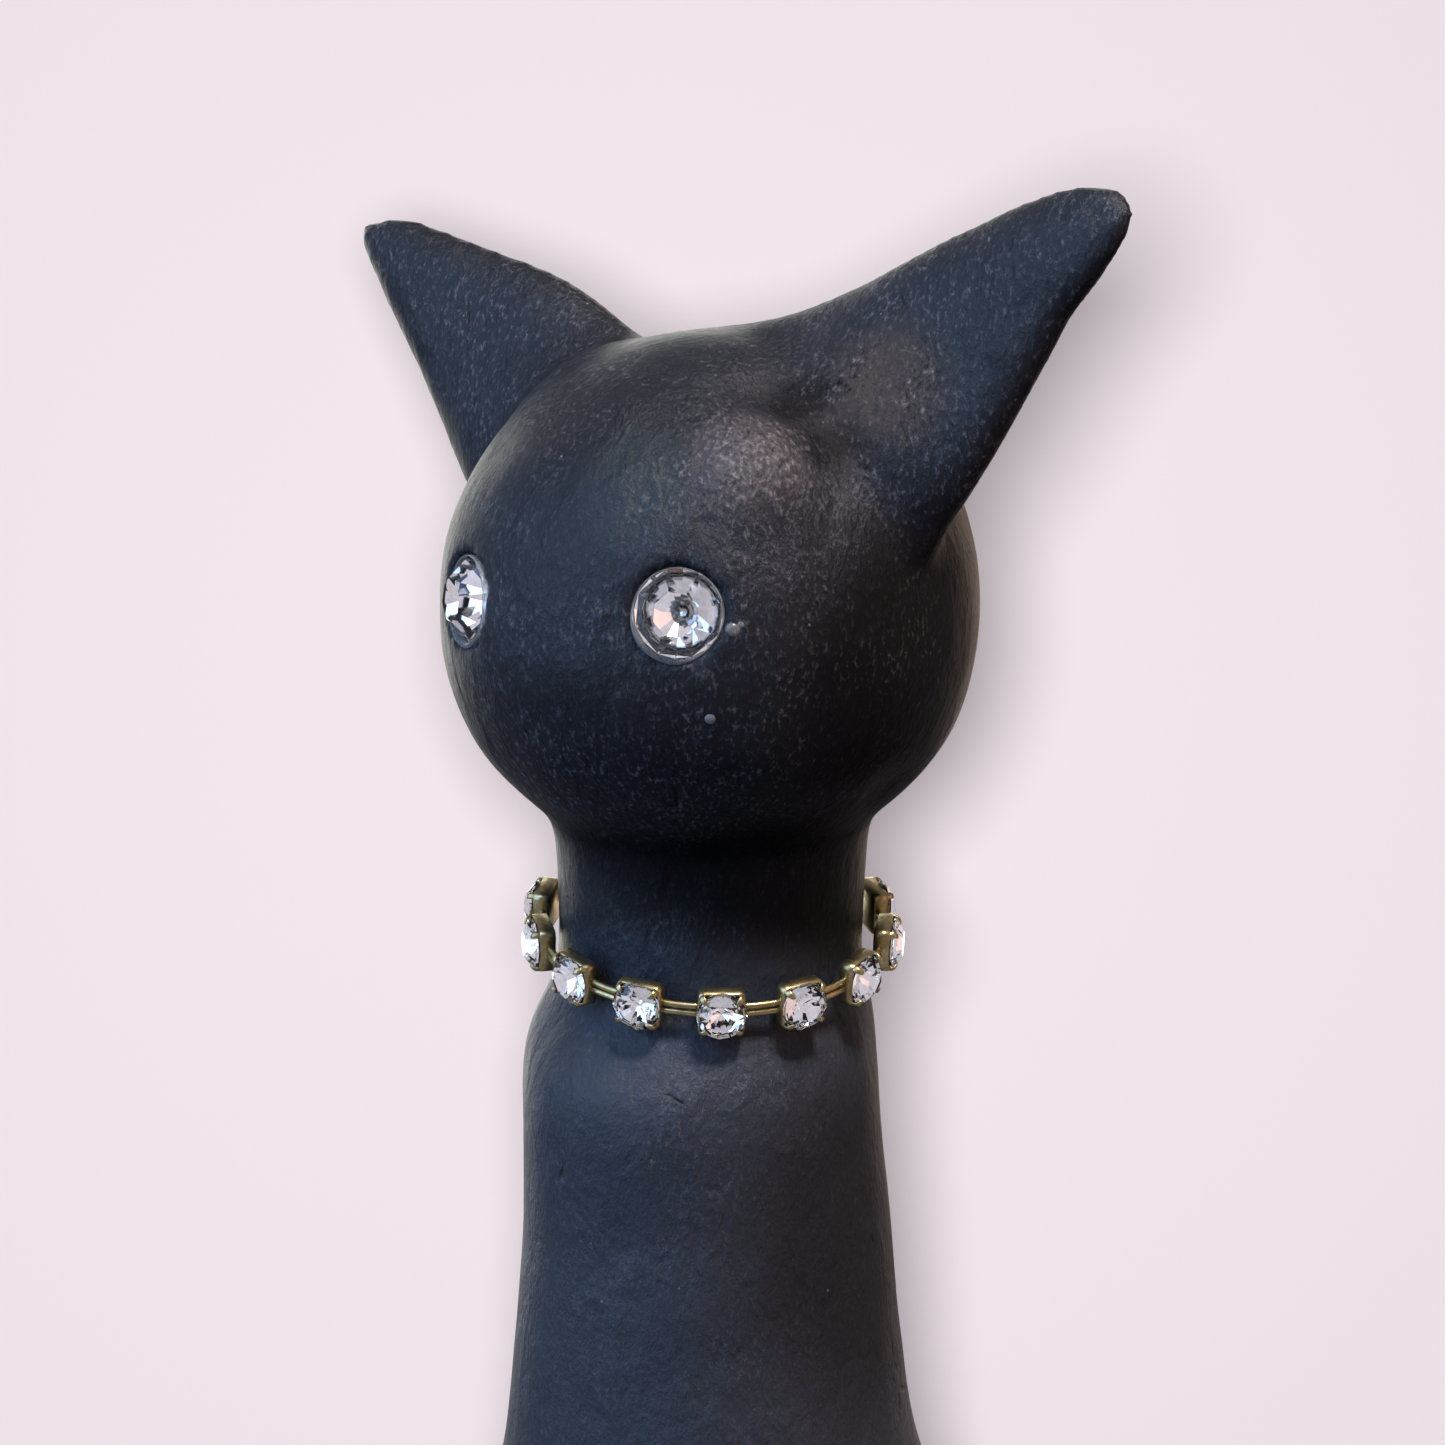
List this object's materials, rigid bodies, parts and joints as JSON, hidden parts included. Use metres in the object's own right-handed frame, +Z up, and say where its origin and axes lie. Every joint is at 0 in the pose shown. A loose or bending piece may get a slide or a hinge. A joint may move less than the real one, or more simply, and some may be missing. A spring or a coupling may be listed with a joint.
{
  "type": "cat tail clock",
  "caption": "Wall clock shaped as a sitting black clay cat with faceted stone eyes and a cup-chain collar, a dial in the belly and a swinging tail below.",
  "frame": {"origin": "centre of the hanger plate's round hole, on the wall plane", "axes": "+Z up, +Y into the wall, the face looks along -Y, +X to the cat's left"},
  "size_m": [0.1008, 0.0547, 0.3657],
  "materials": {
    "black_clay": "matte hand-modelled clay, burnished by fingers",
    "brass": "polished",
    "crystal": "faceted, foil backed",
    "clear_glue": "cured clear glue",
    "dowel_wood": "plain beech",
    "dial_enamel": "ivory enamel",
    "watch_glass": "clear, domed",
    "black_plastic": "moulded ABS",
    "cream_plastic": "moulded acetal",
    "steel": "plain",
    "rubber": "matte",
    "board": "glass-epoxy board",
    "copper": "enamelled copper wire",
    "battery_label": "plain sleeve"
  },
  "bodies": {
    "figure": {"torso": "black_clay", "head": "black_clay", "neck_dowel": "dowel_wood", "eye_stone_left": "crystal", "eye_stone_right": "crystal", "eye_glue": "clear_glue", "dial_plate": "dial_enamel", "hour_studs": "brass", "dial_bezel": "brass", "dial_glass": "watch_glass", "movement_case": "black_plastic", "rear_cover": "black_plastic", "case_screws": "steel", "middle_plate": "cream_plastic", "centre_bushing": "brass", "rubber_washer": "rubber", "mounting_washer": "brass", "mounting_nut": "brass", "circuit_board": "board", "stator": "steel", "motor_coil": "copper", "contact_plus": "steel", "contact_minus": "steel", "pivot_pin": "steel", "drive_coil": "copper", "hanger_plate": "steel", "hanger_block": "dowel_wood", "hanger_screws": "steel", "wall_bumpers": "rubber"},
    "collar": {"collar_cups": "brass", "collar_stones": "crystal", "collar_links": "brass", "collar_clasp": "brass"},
    "minute": {"minute_arbor": "steel", "minute_hand": "brass", "hand_nut": "brass"},
    "hour": {"hour_wheel": "cream_plastic", "hour_hand": "brass"},
    "motion": {"motion_wheel": "cream_plastic"},
    "knob": {"setting_knob": "cream_plastic"},
    "second": {"second_wheel": "cream_plastic"},
    "third": {"third_wheel": "cream_plastic"},
    "centre": {"centre_wheel": "cream_plastic"},
    "fifth": {"fifth_wheel": "cream_plastic"},
    "rotor": {"rotor": "steel"},
    "pendulum": {"tail_lever": "cream_plastic", "tail_magnet": "steel", "tail_rod": "brass", "tail": "black_clay"},
    "battery": {"battery": "battery_label"}
  },
  "joints": [
    {"name": "minute_turn", "type": "hinge", "parent": "figure", "child": "minute", "pos_m": [0, -0.0225, -0.043], "axis": [0, 1, 0], "continuous": true},
    {"name": "hour_turn", "type": "hinge", "parent": "figure", "child": "hour", "pos_m": [0, -0.0225, -0.043], "axis": [0, 1, 0], "continuous": true},
    {"name": "motion_turn", "type": "hinge", "parent": "figure", "child": "motion", "pos_m": [-0.00679, -0.0225, -0.03621], "axis": [0, 1, 0], "continuous": true},
    {"name": "knob_turn", "type": "hinge", "parent": "figure", "child": "knob", "pos_m": [-0.0151, -0.0225, -0.03141], "axis": [0, 1, 0], "continuous": true},
    {"name": "second_turn", "type": "hinge", "parent": "figure", "child": "second", "pos_m": [0, -0.0225, -0.043], "axis": [0, 1, 0], "continuous": true},
    {"name": "third_turn", "type": "hinge", "parent": "figure", "child": "third", "pos_m": [-0.00885, -0.0225, -0.04919], "axis": [0, 1, 0], "continuous": true},
    {"name": "centre_turn", "type": "hinge", "parent": "figure", "child": "centre", "pos_m": [0, -0.0225, -0.043], "axis": [0, 1, 0], "continuous": true},
    {"name": "fifth_turn", "type": "hinge", "parent": "figure", "child": "fifth", "pos_m": [-0.00063, -0.0225, -0.03583], "axis": [0, 1, 0], "continuous": true},
    {"name": "rotor_turn", "type": "hinge", "parent": "figure", "child": "rotor", "pos_m": [-0.00179, -0.0225, -0.02921], "axis": [0, 1, 0], "continuous": true},
    {"name": "tail_swing", "type": "hinge", "parent": "figure", "child": "pendulum", "pos_m": [0, -0.0225, -0.053], "axis": [0, 1, 0], "range_deg": [-10, 10]},
    {"name": "battery_slide", "type": "slide", "parent": "figure", "child": "battery", "axis": [0, 1, 0], "range_m": [0, 0.03]},
    {"name": "collar_turn", "type": "hinge", "parent": "figure", "child": "collar", "pos_m": [0, -0.028, 0.0819], "axis": [0.1533, -0.1455, 0.9774], "continuous": true}
  ],
  "couplings": [
    {"joint": "hour_turn", "follows": "minute_turn", "ratio": 0.083333},
    {"joint": "motion_turn", "follows": "minute_turn", "ratio": -0.33333},
    {"joint": "knob_turn", "follows": "minute_turn", "ratio": 1},
    {"joint": "third_turn", "follows": "second_turn", "ratio": -0.13333},
    {"joint": "centre_turn", "follows": "second_turn", "ratio": 0.016667},
    {"joint": "fifth_turn", "follows": "second_turn", "ratio": -5},
    {"joint": "rotor_turn", "follows": "second_turn", "ratio": 30}
  ]
}
